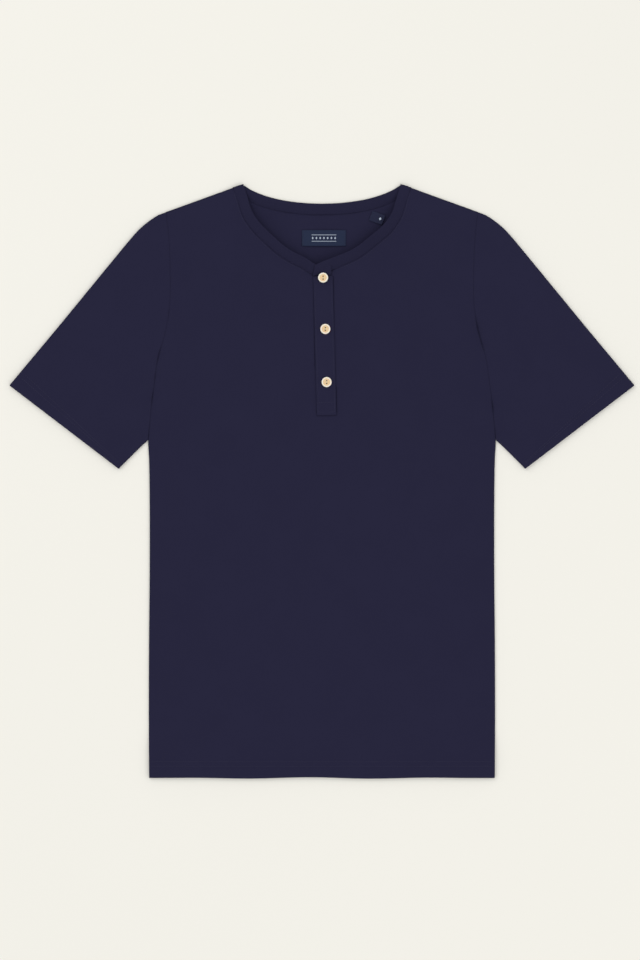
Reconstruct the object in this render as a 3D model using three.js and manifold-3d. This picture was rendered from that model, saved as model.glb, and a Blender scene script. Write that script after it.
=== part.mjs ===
// A short-sleeved henley shirt in cotton jersey, spread flat on its back.
// Millimetres. X runs across the shirt, +Y towards the neck, +Z up from the surface it lies on.
import * as THREE from "three";
import Module from "manifold-3d";

const wasm = await Module();
wasm.setup();

// ---- driving sizes ----
const CLOTH = 1.0; // one layer of jersey
const DOUBLE = 2.0; // two layers, in a hem or in the folded rib
const GAP = 0.3; // clear space between two pieces that meet
const HEM_Y = -362; // lower edge of the body
const HEM_DEEP = 24; // depth of the turned-up body hem
const HEM_FADE = 40; // length over which the front settles down from its hem
const BODY_HALF = 210.5; // half the body's width at the hem
const FRONT_LOFT = 1.7; // how far the front stands off the back, away from its seams
const LOFT_RUN = 42; // distance from a seam over which it reaches that
const BAND_WIDE = 12.6; // neckband, seam to fold
const BAND_FRONT_Z = 2.3; // underside of the front half of the neckband
const CUFF_FROM = 0.917; // where along the sleeve its turned-up hem starts, 20 mm from the opening
const SLEEVE_PUFF = 1.3; // how far the upper layer of a sleeve stands off the lower one
const PLACKET_WIDE = 24.4;
const PLACKET_TOP = { x: 1.2, y: 250.6 };
const PLACKET_END = { x: 5.6, y: 83.2 };
const PLACKET_THICK = 1.5;
const UNDER_Z = 2.6; // underside of the lower placket strip
const OVER_Z = UNDER_Z + PLACKET_THICK + GAP;
const BUTTON_R = 6.4;
const BUTTON_THICK = 2.3;
const BUTTON_HOLE_R = 0.85;
const BUTTON_HOLE_OFF = 1.55; // each hole from the centre
const SLIT_LONG = 15;
const SLIT_WIDE = 1.2;
const LABEL = { x: 2.4, y: 296.7, wide: 53.6, deep: 19.4, thick: 0.8 };
const TAG = { x: 67.5, y: 321.4, wide: 17, deep: 12.5, thick: 1.0, turn: -20 };

const NAVY = "#27263d";
const NAVY_RIB = "#252438";
const CREAM = "#e6d8be";
const LABEL_BLUE = "#272e47";

// Armhole seam of the left half as seen from above, from under the arm to the shoulder.
const ARMHOLE = [
  { x: -211.7, y: 50.3 },
  { x: -208.6, y: 87 },
  { x: -204.9, y: 117.5 },
  { x: -200.1, y: 150.3 },
  { x: -194.0, y: 168 },
  { x: -190.3, y: 184.5 },
  { x: -187.2, y: 203 },
  { x: -185.4, y: 221 },
  { x: -185.0, y: 242 },
  { x: -185.4, y: 266 },
  { x: -186.3, y: 288 },
  { x: -188.0, y: 310 },
  { x: -190.3, y: 328.4 },
];
// The side seam below it, hem to underarm.
const SIDE = [
  { x: -210.5, y: -362 },
  { x: -210.7, y: -338 },
  { x: -210.9, y: -337 },
  { x: -210.9, y: -298 },
  { x: -210.9, y: -246 },
  { x: -210.6, y: -186 },
  { x: -210.0, y: -126 },
  { x: -209.8, y: -66 },
  { x: -210.0, y: -12 },
  { x: -210.6, y: 26 },
];
// Sleeve: its top fold from the shoulder to the tip of the opening, as seen from above.
const SLEEVE_TOP = [
  { along: 0.0, x: -190.3, y: 328.4 },
  { along: 0.05, x: -200.5, y: 324.2 },
  { along: 0.12, x: -213.5, y: 315.2 },
  { along: 0.2, x: -227.0, y: 303.2 },
  { along: 0.34, x: -253.6, y: 271.3 },
  { along: 0.5, x: -286.0, y: 232.0 },
  { along: 0.68, x: -322.6, y: 187.4 },
  { along: 0.84, x: -354.0, y: 149.6 },
  { along: 0.915, x: -367.4, y: 134.0 },
  { along: 0.92, x: -368.4, y: 132.8 },
  { along: 1.0, x: -381.2, y: 117.4 },
];
// Sleeve: its underarm fold at the same stations.
const SLEEVE_UNDER = [
  { along: 0.0, x: -211.7, y: 50.3 },
  { along: 0.05, x: -214.0, y: 48.6 },
  { along: 0.12, x: -216.6, y: 46.2 },
  { along: 0.2, x: -219.6, y: 43.6 },
  { along: 0.34, x: -223.6, y: 39.4 },
  { along: 0.5, x: -228.4, y: 34.8 },
  { along: 0.68, x: -234.0, y: 28.9 },
  { along: 0.84, x: -240.2, y: 22.9 },
  { along: 0.915, x: -243.6, y: 19.6 },
  { along: 0.92, x: -243.8, y: 19.3 },
  { along: 1.0, x: -247.4, y: 15.6 },
];
// Upper (free) edge of the neckband, left half, on the front: shoulder down to the placket.
const NECK_FRONT = [
  { x: -95.7, y: 362.0 },
  { x: -90.9, y: 347.0 },
  { x: -86.0, y: 331.0 },
  { x: -79.4, y: 319.6 },
  { x: -70.8, y: 309.6 },
  { x: -57.3, y: 296.7 },
  { x: -45.1, y: 285.9 },
  { x: -32.9, y: 278.4 },
  { x: -19.5, y: 271.8 },
  { x: -8.2, y: 264.4 },
  { x: 2.0, y: 262.4 },
  { x: 11.4, y: 262.4 },
];
// The same edge on the right half: it ends on top, at the free edge of the upper placket.
const NECK_FRONT_RIGHT = [
  { x: 95.7, y: 362.0 },
  { x: 90.9, y: 345.5 },
  { x: 85.8, y: 329.0 },
  { x: 79.6, y: 318.4 },
  { x: 71.6, y: 309.2 },
  { x: 57.3, y: 297.4 },
  { x: 45.1, y: 287.6 },
  { x: 36.0, y: 281.8 },
  { x: 24.0, y: 276.6 },
  { x: 13.2, y: 272.2 },
  { x: 3.2, y: 268.4 },
  { x: -8.6, y: 263.2 },
];
// Free edge of the neckband on the back, shoulder to the centre.
const NECK_BACK = [
  { x: -95.7, y: 362.0 },
  { x: -90.2, y: 357.6 },
  { x: -83.0, y: 353.6 },
  { x: -75.6, y: 350.3 },
  { x: -63.0, y: 345.9 },
  { x: -50.0, y: 342.6 },
  { x: -34.0, y: 339.9 },
  { x: -17.0, y: 338.2 },
  { x: 0.0, y: 337.6 },
];
// The neckband's seam on the shoulder fold.
const BAND_SHOULDER = { x: -107.2, y: 358.6 };
// Its seam's two ends at the centre front, on the lower and on the upper placket strip.
const BAND_END_UNDER = { x: 11.4, y: 250.6 };
const BAND_END_OVER = { x: -10.8, y: 251.2 };
// Soft troughs pressed into the front, each a centre, a direction, half sizes and a depth.
const FOLDS = [
  { x: -176, y: 196, turn: 78, long: 46, wide: 9, deep: 0.5 },
  { x: 176, y: 188, turn: 101, long: 44, wide: 9, deep: 0.6 },
  { x: -178, y: 92, turn: 50, long: 52, wide: 12, deep: 0.45 },
  { x: 174, y: 84, turn: 128, long: 56, wide: 13, deep: 0.45 },
  { x: -120, y: -40, turn: 84, long: 120, wide: 20, deep: 0.35 },
  { x: 112, y: -90, turn: 95, long: 140, wide: 22, deep: 0.4 },
  { x: -60, y: -250, turn: 92, long: 90, wide: 18, deep: 0.35 },
  { x: 40, y: -230, turn: 86, long: 110, wide: 20, deep: 0.3 },
  { x: -120, y: 270, turn: 140, long: 60, wide: 12, deep: 0.3 },
  { x: 122, y: 268, turn: 42, long: 60, wide: 12, deep: 0.3 },
];
const BUTTONS = [
  { name: "button_1", x: 1.0, y: 248.4, lift: 0.4 },
  { name: "button_2", x: 3.9, y: 185.7, lift: 0 },
  { name: "button_3", x: 5.5, y: 121.0, lift: 0 },
];

// ---- small helpers ----
const lerp = (a, b, t) => a + (b - a) * t;
const clamp01 = (t) => Math.min(1, Math.max(0, t));
const smooth = (t) => clamp01(t) ** 2 * (3 - 2 * clamp01(t));
const mirrored = (points) => points.map((p) => ({ ...p, x: -p.x }));

// Evenly spaced points along a smooth curve through the given ones.
function resample(points, count) {
  const curve = new THREE.CatmullRomCurve3(points.map((p) => new THREE.Vector3(p.x, p.y, 0)));
  return curve.getSpacedPoints(count - 1).map((p) => ({ x: p.x, y: p.y }));
}

// The line that runs beside another at a set distance, on its left when the distance is positive.
function beside(points, distance) {
  return points.map((p, i) => {
    const a = points[Math.max(0, i - 1)];
    const b = points[Math.min(points.length - 1, i + 1)];
    const run = Math.hypot(b.x - a.x, b.y - a.y);
    return { x: p.x - ((b.y - a.y) / run) * distance, y: p.y + ((b.x - a.x) / run) * distance };
  });
}

// A closed solid from quads over a list of points; loops of four indices, wound outwards.
function solid(points, quads) {
  const index = [];
  for (const [a, b, c, d] of quads) index.push(a, b, c, a, c, d);
  const geometry = new THREE.BufferGeometry();
  geometry.setAttribute("position", new THREE.Float32BufferAttribute(points.flat(), 3));
  geometry.setIndex(index);
  return geometry;
}

// A sheet of cloth over a grid of rows and columns; each cell gives x, y, its underside and its top.
function slab(rows) {
  const high = rows.length;
  const wide = rows[0].length;
  const points = [];
  for (const side of ["lo", "hi"]) for (const row of rows) for (const p of row) points.push([p.x, p.y, p[side]]);
  const at = (side, i, j) => side * high * wide + i * wide + j;
  const quads = [];
  for (let i = 0; i + 1 < high; i++) {
    for (let j = 0; j + 1 < wide; j++) {
      quads.push([at(1, i, j), at(1, i, j + 1), at(1, i + 1, j + 1), at(1, i + 1, j)]);
      quads.push([at(0, i, j), at(0, i + 1, j), at(0, i + 1, j + 1), at(0, i, j + 1)]);
    }
  }
  for (let j = 0; j + 1 < wide; j++) {
    quads.push([at(0, 0, j), at(0, 0, j + 1), at(1, 0, j + 1), at(1, 0, j)]);
    quads.push([at(0, high - 1, j + 1), at(0, high - 1, j), at(1, high - 1, j), at(1, high - 1, j + 1)]);
  }
  for (let i = 0; i + 1 < high; i++) {
    quads.push([at(0, i + 1, 0), at(0, i, 0), at(1, i, 0), at(1, i + 1, 0)]);
    quads.push([at(0, i, wide - 1), at(0, i + 1, wide - 1), at(1, i + 1, wide - 1), at(1, i, wide - 1)]);
  }
  return solid(points, quads);
}

// A run of four-cornered sections joined into one strip, capped at both ends.
function strip(sections) {
  const points = sections.flat();
  const quads = [];
  for (let i = 0; i + 1 < sections.length; i++) {
    for (let k = 0; k < 4; k++) {
      const next = (k + 1) % 4;
      quads.push([i * 4 + k, (i + 1) * 4 + k, (i + 1) * 4 + next, i * 4 + next]);
    }
  }
  const last = (sections.length - 1) * 4;
  quads.push([0, 1, 2, 3]);
  quads.push([last + 3, last + 2, last + 1, last]);
  return solid(points, quads);
}

function fromManifold(made) {
  const mesh = made.getMesh();
  const geometry = new THREE.BufferGeometry();
  geometry.setAttribute("position", new THREE.BufferAttribute(new Float32Array(mesh.vertProperties), 3));
  geometry.setIndex(new THREE.BufferAttribute(new Uint32Array(mesh.triVerts), 1));
  return geometry;
}

const shirt = new THREE.Group();
function add(name, geometry, color, roughness = 0.95, metalness = 0) {
  const mesh = new THREE.Mesh(geometry, new THREE.MeshStandardMaterial({ color, roughness, metalness }));
  mesh.name = name;
  shirt.add(mesh);
}

// ---- neckband: one strip, folded over at each shoulder ----
const SIDE_STEPS = 15; // sections down each half of the front
const BACK_STEPS = 9; // sections from a shoulder to the centre of the back
const FOLD_STEPS = 4; // sections round the fold at a shoulder

// The inner and outer edges of the band as seen from above, pulled to the seam point at the fold.
function bandEdges(freeEdge, count, side, end) {
  const inner = resample(freeEdge, count);
  const outer = beside(inner, side * BAND_WIDE);
  const sign = Math.sign(inner[0].x);
  const target = { x: Math.abs(BAND_SHOULDER.x) * sign, y: BAND_SHOULDER.y };
  const shift = { x: target.x - outer[0].x, y: target.y - outer[0].y };
  const last = outer[count - 1];
  const endShift = end ? { x: end.x - last.x, y: end.y - last.y } : { x: 0, y: 0 };
  return inner.map((p, i) => {
    const pull = (1 - clamp01(i / 4)) ** 2;
    const endPull = (1 - clamp01((count - 1 - i) / 3)) ** 2;
    const x = outer[i].x + shift.x * pull + endShift.x * endPull;
    const y = outer[i].y + shift.y * pull + endShift.y * endPull;
    return { inner: p, outer: { x, y } };
  });
}

const frontLeft = bandEdges(NECK_FRONT, SIDE_STEPS, -1, BAND_END_UNDER);
const frontRight = bandEdges(NECK_FRONT_RIGHT, SIDE_STEPS, 1, BAND_END_OVER);
const backLeft = bandEdges(NECK_BACK, BACK_STEPS, -1);
const backRight = bandEdges(mirrored(NECK_BACK), BACK_STEPS, 1);

// One section: the outside face points along "out", the inside face lies a double layer behind it.
function bandSection(edge, out, z, toInside) {
  const point = (p, face) => [p.x + out.x * face, p.y + out.y * face, z + out.z * face];
  const half = DOUBLE / 2;
  const loop = [
    point(edge.inner, half),
    point(edge.outer, half),
    point(edge.outer, -half),
    point(edge.inner, -half),
  ];
  return toInside ? loop.reverse() : loop;
}

const bandBackZ = DOUBLE / 2;
const bandFrontZ = BAND_FRONT_Z + DOUBLE / 2;
// The right half climbs over the left one in its last part, where the placket strips overlap.
const climb = (x) => smooth((26 - x) / 18) * (DOUBLE + GAP);

function foldSections(front, back, sign) {
  const sections = [];
  const middle = (bandBackZ + bandFrontZ) / 2;
  const radius = (bandFrontZ - bandBackZ) / 2;
  const along = { x: -sign * 0.34, y: 0.94 }; // the fold's outward direction, off the shoulder line
  for (let k = 1; k <= FOLD_STEPS; k++) {
    const turn = (Math.PI * k) / (FOLD_STEPS + 1);
    const out = { x: along.x * Math.sin(turn), y: along.y * Math.sin(turn), z: Math.cos(turn) };
    const push = Math.sin(turn) * radius - radius;
    const mid = (a, b) => ({ x: (a.x + b.x) / 2 + along.x * push, y: (a.y + b.y) / 2 + along.y * push });
    const edge = { inner: mid(front.inner, back.inner), outer: mid(front.outer, back.outer) };
    sections.push(bandSection(edge, out, middle + radius * Math.cos(turn)));
  }
  return sections;
}

const UP = { x: 0, y: 0, z: 1 };
const DOWN = { x: 0, y: 0, z: -1 };
// Both layers of the band start a little below the fold, so that the fold's crown is its highest point.
const foldRow = 1;
const sections = [];
for (let i = SIDE_STEPS - 1; i >= foldRow; i--) sections.push(bandSection(frontLeft[i], UP, bandFrontZ));
sections.push(...foldSections(frontLeft[0], backLeft[0], -1));
for (let i = foldRow; i < BACK_STEPS; i++) sections.push(bandSection(backLeft[i], DOWN, bandBackZ));
for (let i = BACK_STEPS - 2; i >= foldRow; i--) sections.push(bandSection(backRight[i], DOWN, bandBackZ));
sections.push(...foldSections(frontRight[0], backRight[0], 1).reverse());
for (let i = foldRow; i < SIDE_STEPS; i++) {
  sections.push(bandSection(frontRight[i], UP, bandFrontZ + climb(frontRight[i].outer.x)));
}
add("neckband", strip(sections), NAVY_RIB);

// ---- body panels ----
// Outline of a half, hem to shoulder, and the panel's top edge from shoulder to shoulder.
const sideLine = [...SIDE, ...ARMHOLE];
const SHOULDER_COLUMNS = 4;
const HEM_ROWS = 2;

function topLine(left, right) {
  const shoulder = sideLine[sideLine.length - 1];
  const start = left[0];
  const points = [];
  for (let k = 0; k < SHOULDER_COLUMNS; k++) {
    points.push({
      x: lerp(shoulder.x, start.x, k / SHOULDER_COLUMNS),
      y: lerp(shoulder.y, start.y, k / SHOULDER_COLUMNS),
    });
  }
  points.push(...left, ...right);
  for (let k = SHOULDER_COLUMNS - 1; k >= 0; k--) {
    points.push({
      x: -lerp(shoulder.x, start.x, k / SHOULDER_COLUMNS),
      y: lerp(shoulder.y, start.y, k / SHOULDER_COLUMNS),
    });
  }
  return points;
}

function troughs(x, y) {
  let sum = 0;
  for (const f of FOLDS) {
    const turn = THREE.MathUtils.degToRad(f.turn);
    const dx = x - f.x;
    const dy = y - f.y;
    const along = (dx * Math.cos(turn) + dy * Math.sin(turn)) / f.long;
    const across = (dy * Math.cos(turn) - dx * Math.sin(turn)) / f.wide;
    sum += f.deep * Math.exp(-along * along - across * across);
  }
  return sum;
}

// Height of the front's outside face, from its distance to the seams that hold it down.
function frontTop(x, y, seamDistance) {
  const loft = FRONT_LOFT * smooth(seamDistance / LOFT_RUN);
  const hem = DOUBLE * (1 - smooth((y - (HEM_Y + HEM_DEEP)) / HEM_FADE));
  const rise = Math.max(loft, hem) + 0.25 * Math.min(loft, hem);
  return 2 * CLOTH + GAP + Math.max(0, rise - troughs(x, y) * smooth(seamDistance / 12));
}

// A grid over the outline: hem below, armholes at the sides, and the neck and shoulders above, whose
// shape fades out down the panel. The first rows are the hem's.
function panelRows(top, cell) {
  const corner = sideLine[sideLine.length - 1];
  return sideLine.map((left, i) => {
    const v = (left.y - HEM_Y) / (corner.y - HEM_Y);
    return top.map((t, j) => {
      const u = j / (top.length - 1);
      const waver = 0.8 * Math.sin(u * 17) * Math.sin(u * Math.PI) * (1 - v) ** 2;
      const x = lerp(left.x, -left.x, u) + (t.x - lerp(corner.x, -corner.x, u)) * v * v;
      const y = left.y + waver + (t.y - corner.y) * v * v;
      const seam = Math.min(x - left.x, -left.x - x, Math.max(0, shoulderDrop(x, y)));
      const inset = (1 - 2 * u) * (GAP / 2);
      return { x: x + inset, y, ...cell(x, y, seam, i < HEM_ROWS) };
    });
  });
}

// Distance below the shoulder seam; the seam stops at the neckband, whose bulk holds the front up.
function shoulderDrop(x, y) {
  const a = sideLine[sideLine.length - 1];
  const b = BAND_SHOULDER;
  const slope = (b.y - a.y) / (b.x - a.x);
  const below = a.y + slope * (-Math.abs(x) - a.x) - y;
  const pastNeck = Math.max(0, Math.abs(b.x) + 12 - Math.abs(x));
  return below + pastNeck * 1.4;
}

// The front is slit for the placket, so its neck edge stops at the first point inside the slit.
const toSlit = (edges) => edges.slice(0, edges.findIndex((e) => Math.abs(e.outer.x - PLACKET_TOP.x) < 12) + 1);
// The panel's edge stands a gap off the band's seam, and a little more where both turn over the shoulder.
const seamSide = (edges, side) =>
  beside(edges.map((e) => e.outer), side * 1.2 * GAP).map((p, i) =>
    i === 0 ? { x: p.x + Math.sign(p.x) * 2 * GAP, y: p.y - GAP } : p,
  );
const frontTopLine = topLine(seamSide(toSlit(frontLeft), -1), seamSide(toSlit(frontRight), 1).reverse());
const backTopLine = topLine(seamSide(backLeft.slice(0, -1), -1), seamSide(backRight, 1).reverse());

const backRows = panelRows(backTopLine, (x, y, seam, hem) => ({ lo: 0, hi: hem ? DOUBLE : CLOTH }));
add("back", slab(backRows), NAVY);

const frontRows = panelRows(frontTopLine, (x, y, seam, hem) => {
  const hi = frontTop(x, y, seam);
  return { lo: hi - (hem ? DOUBLE : CLOTH), hi };
});

// ---- placket: both strips lie along one slightly leaning line ----
const lean = Math.atan2(PLACKET_END.x - PLACKET_TOP.x, PLACKET_TOP.y - PLACKET_END.y);
const placketLong = Math.hypot(PLACKET_END.x - PLACKET_TOP.x, PLACKET_TOP.y - PLACKET_END.y);

// A box along that line, between two distances from its top, grown by "spare" all round.
function placketBox(from, to, z, thick, spare = 0) {
  const long = to - from + 2 * spare;
  const box = new THREE.BoxGeometry(PLACKET_WIDE + 2 * spare, long, thick, 2, 8, 1);
  box.translate(0, -(from + to) / 2, z + thick / 2);
  box.rotateZ(lean);
  box.translate(PLACKET_TOP.x, PLACKET_TOP.y, 0);
  return box;
}

const asManifold = (geometry) => {
  const points = geometry.getAttribute("position");
  const seen = new Map();
  const vertices = [];
  const index = [];
  for (const i of geometry.index.array) {
    const key = [points.getX(i), points.getY(i), points.getZ(i)].map((c) => Math.round(c * 1e4)).join();
    if (!seen.has(key)) {
      seen.set(key, vertices.length / 3);
      vertices.push(points.getX(i), points.getY(i), points.getZ(i));
    }
    index.push(seen.get(key));
  }
  return new wasm.Manifold(
    new wasm.Mesh({ numProp: 3, vertProperties: new Float32Array(vertices), triVerts: new Uint32Array(index) }),
  );
};

const slit = asManifold(placketBox(-30, placketLong, -5, 20, GAP));
add("front", fromManifold(asManifold(slab(frontRows)).subtract(slit)), NAVY);
add("placket_under", fromManifold(asManifold(placketBox(2, placketLong, UNDER_Z, PLACKET_THICK))), NAVY);

let over = asManifold(placketBox(2, placketLong + 3, OVER_Z, PLACKET_THICK));
for (const b of BUTTONS) {
  const hole = new THREE.BoxGeometry(SLIT_WIDE, SLIT_LONG, 4 * PLACKET_THICK);
  hole.rotateZ(lean);
  hole.translate(b.x, Math.min(b.y, PLACKET_TOP.y - SLIT_LONG / 2 - 3), OVER_Z + PLACKET_THICK / 2);
  over = over.subtract(asManifold(hole));
}
add("placket_over", fromManifold(over), NAVY);

// ---- buttons: a rim round a shallow dish, with two holes one above the other ----
// The first one also rests on the end of the neckband, so it stands a little higher.
const DISH = [
  { r: 0, z: 0 },
  { r: BUTTON_R - 1.3, z: 0 },
  { r: BUTTON_R - 0.3, z: 0.6 },
  { r: BUTTON_R, z: 1.3 },
  { r: BUTTON_R - 0.3, z: 2.0 },
  { r: BUTTON_R - 1.0, z: BUTTON_THICK },
  { r: BUTTON_R - 1.9, z: 2.0 },
  { r: BUTTON_R - 2.8, z: 1.55 },
  { r: 0, z: 1.45 },
];
for (const b of BUTTONS) {
  const buttonZ = OVER_Z + PLACKET_THICK + GAP + b.lift;
  const body = new THREE.LatheGeometry(DISH.map((p) => new THREE.Vector2(p.r, p.z)), 28);
  body.rotateX(Math.PI / 2);
  body.translate(b.x, b.y, buttonZ);
  let made = fixed(body);
  for (const side of [-1, 1]) {
    const hole = new THREE.CylinderGeometry(BUTTON_HOLE_R, BUTTON_HOLE_R, 3 * BUTTON_THICK, 12);
    hole.rotateX(Math.PI / 2);
    hole.translate(b.x, b.y + side * BUTTON_HOLE_OFF, buttonZ + BUTTON_THICK / 2);
    made = made.subtract(fixed(hole));
  }
  add(b.name, fromManifold(made), CREAM, 0.35);
}

// A turned solid may come out inside out or with doubled points on its axis: both are put right.
function fixed(geometry) {
  const clean = geometry.clone();
  const index = [];
  const points = clean.getAttribute("position");
  const same = (a, b) =>
    Math.hypot(points.getX(a) - points.getX(b), points.getY(a) - points.getY(b), points.getZ(a) - points.getZ(b)) <
    1e-4;
  const source = clean.index.array;
  for (let i = 0; i < source.length; i += 3) {
    const [a, b, c] = [source[i], source[i + 1], source[i + 2]];
    if (!same(a, b) && !same(b, c) && !same(a, c)) index.push(a, b, c);
  }
  clean.setIndex(index);
  const made = asManifold(clean);
  if (made.volume() > 0) return made;
  for (let i = 0; i < index.length; i += 3) [index[i + 1], index[i + 2]] = [index[i + 2], index[i + 1]];
  clean.setIndex(index);
  return asManifold(clean);
}

// ---- sleeves: a tube pressed flat, with a round fold along the top and one under the arm ----
const FOLD_POINTS = 5;
function sleeve(name, sign) {
  const rings = [];
  for (let s = 0; s < SLEEVE_TOP.length; s++) {
    const { along } = SLEEVE_TOP[s];
    const top = SLEEVE_TOP[s];
    const under = SLEEVE_UNDER[s];
    const cuff = along > CUFF_FROM;
    const wall = cuff ? DOUBLE : CLOTH;
    const bulk = 2 * CLOTH + GAP + SLEEVE_PUFF * smooth(along / 0.3);
    const hem = smooth((along - 0.62) / 0.28);
    const height = lerp(bulk, 2 * DOUBLE + GAP, hem);
    rings.push(sleeveRing(along, top, under, wall, height, sign));
  }
  const count = rings[0].outer.length;
  const points = [];
  for (const side of ["outer", "inner"]) for (const ring of rings) points.push(...ring[side]);
  const at = (side, i, k) => (side * rings.length + i) * count + (k % count);
  const quads = [];
  for (let i = 0; i + 1 < rings.length; i++) {
    for (let k = 0; k < count; k++) {
      quads.push([at(0, i, k), at(0, i, k + 1), at(0, i + 1, k + 1), at(0, i + 1, k)]);
      quads.push([at(1, i, k), at(1, i + 1, k), at(1, i + 1, k + 1), at(1, i, k + 1)]);
    }
  }
  const last = rings.length - 1;
  for (let k = 0; k < count; k++) {
    quads.push([at(0, 0, k), at(1, 0, k), at(1, 0, k + 1), at(0, 0, k + 1)]);
    quads.push([at(0, last, k), at(0, last, k + 1), at(1, last, k + 1), at(1, last, k)]);
  }
  const facing = sign < 0 ? quads.map((q) => q.reverse()) : quads;
  add(name, solid(points, facing), NAVY);
}

// One ring: points across the pressed tube at the armhole's own spacing, with round folds at its ends.
function sleeveRing(along, top, under, wall, height, sign) {
  const across = ARMHOLE.map((p, k) => {
    const t = k / (ARMHOLE.length - 1);
    const straight = { x: lerp(under.x, top.x, t), y: lerp(under.y, top.y, t) };
    const chord = { x: lerp(ARMHOLE[0].x, ARMHOLE.at(-1).x, t), y: lerp(ARMHOLE[0].y, ARMHOLE.at(-1).y, t) };
    const keep = (1 - along) ** 1.5;
    return { x: straight.x + (p.x - chord.x) * keep, y: straight.y + (p.y - chord.y) * keep };
  });
  const shift = along === 0 ? -GAP : 0;
  const run = Math.hypot(top.x - under.x, top.y - under.y);
  const dir = { x: (top.x - under.x) / run, y: (top.y - under.y) / run };
  const radius = height / 2;
  const swell = (t) => 0.9 * Math.sin(Math.PI * t) * smooth(along / 0.25) * smooth((1 - along) / 0.4);
  const ring = (r) => {
    const inset = radius;
    const loop = [];
    const push = (x, y, z) => loop.push([sign * (x + shift), y, z]);
    for (let k = 1; k + 1 < across.length; k++) {
      push(across[k].x, across[k].y, radius + r + swell(k / (across.length - 1)));
    }
    for (let k = 0; k <= FOLD_POINTS; k++) {
      const turn = Math.PI / 2 - (Math.PI * k) / FOLD_POINTS;
      const out = r * Math.cos(turn) - inset;
      push(top.x + dir.x * out, top.y + dir.y * out, radius + r * Math.sin(turn));
    }
    for (let k = across.length - 2; k > 0; k--) push(across[k].x, across[k].y, radius - r);
    for (let k = 0; k <= FOLD_POINTS; k++) {
      const turn = -Math.PI / 2 - (Math.PI * k) / FOLD_POINTS;
      const out = r * Math.cos(turn) + inset;
      push(under.x + dir.x * out, under.y + dir.y * out, radius + r * Math.sin(turn));
    }
    return loop;
  };
  return { outer: ring(radius), inner: ring(radius - wall) };
}
sleeve("sleeve_left", 1);
sleeve("sleeve_right", -1);

// ---- label and size tag, flat on the inside of the back ----
const label = new THREE.BoxGeometry(LABEL.wide, LABEL.deep, LABEL.thick);
label.translate(LABEL.x, LABEL.y, CLOTH + GAP + LABEL.thick / 2);
add("neck_label", label, LABEL_BLUE, 0.7);

const tag = new THREE.BoxGeometry(TAG.wide, TAG.deep, TAG.thick);
tag.rotateZ(THREE.MathUtils.degToRad(TAG.turn));
tag.translate(TAG.x, TAG.y, CLOTH + GAP + TAG.thick / 2);
add("size_tag", tag, LABEL_BLUE, 0.7);

export default shirt;
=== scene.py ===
import math

import bmesh
import bpy
from mathutils import Matrix, Vector


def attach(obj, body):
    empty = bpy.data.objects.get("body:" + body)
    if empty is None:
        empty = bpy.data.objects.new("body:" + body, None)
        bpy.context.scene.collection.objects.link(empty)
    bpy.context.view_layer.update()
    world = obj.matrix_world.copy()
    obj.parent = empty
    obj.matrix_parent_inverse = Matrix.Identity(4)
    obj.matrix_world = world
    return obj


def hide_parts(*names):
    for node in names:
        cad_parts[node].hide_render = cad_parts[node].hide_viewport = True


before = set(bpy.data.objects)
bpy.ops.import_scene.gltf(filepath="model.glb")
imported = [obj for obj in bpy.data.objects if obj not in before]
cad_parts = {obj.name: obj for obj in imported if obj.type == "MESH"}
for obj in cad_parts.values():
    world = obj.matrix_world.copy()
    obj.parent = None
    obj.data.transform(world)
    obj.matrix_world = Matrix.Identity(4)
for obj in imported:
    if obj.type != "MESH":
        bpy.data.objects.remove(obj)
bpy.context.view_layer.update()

# ---------------------------------------------------------------------------------------------
# Jersey cloth: combed cotton in single jersey, piece-dyed a dark navy. It is knitted in columns
# of small V-shaped loops, so it is quite matt, with a faint nap that catches light at the edges.
# ---------------------------------------------------------------------------------------------
MM = 0.001
NAVY = "#232238"
# lighter navy: painted light on the knit's loops and fuzz, and the dye's mottling
NAVY_PAINTED_LIGHT_AND_MOTTLE = "#27263D"
WALE = 0.9  # width of one column of loops, mm
COURSE = 0.75  # height of one row of loops, mm


def linear(hex_colour):
    parts = [int(hex_colour[i : i + 2], 16) / 255 for i in (1, 3, 5)]
    return [p / 12.92 if p <= 0.04045 else ((p + 0.055) / 1.055) ** 2.4 for p in parts] + [1.0]


def add_node(tree, kind, settings=None, **links):
    """A node with its settings, and its inputs either linked to a socket or given a value."""
    made = tree.nodes.new(kind)
    for name, value in (settings or {}).items():
        setattr(made, name, value)
    for name, value in links.items():
        key = int(name[1:]) if name[1:].isdigit() and name[0] == "i" else name.replace("_", " ")
        if isinstance(value, bpy.types.NodeSocket):
            tree.links.new(value, made.inputs[key])
        else:
            made.inputs[key].default_value = value
    return made


def new_material(name):
    material = bpy.data.materials.new(name)
    material.use_nodes = True
    material.node_tree.nodes.clear()
    return material, material.node_tree


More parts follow.
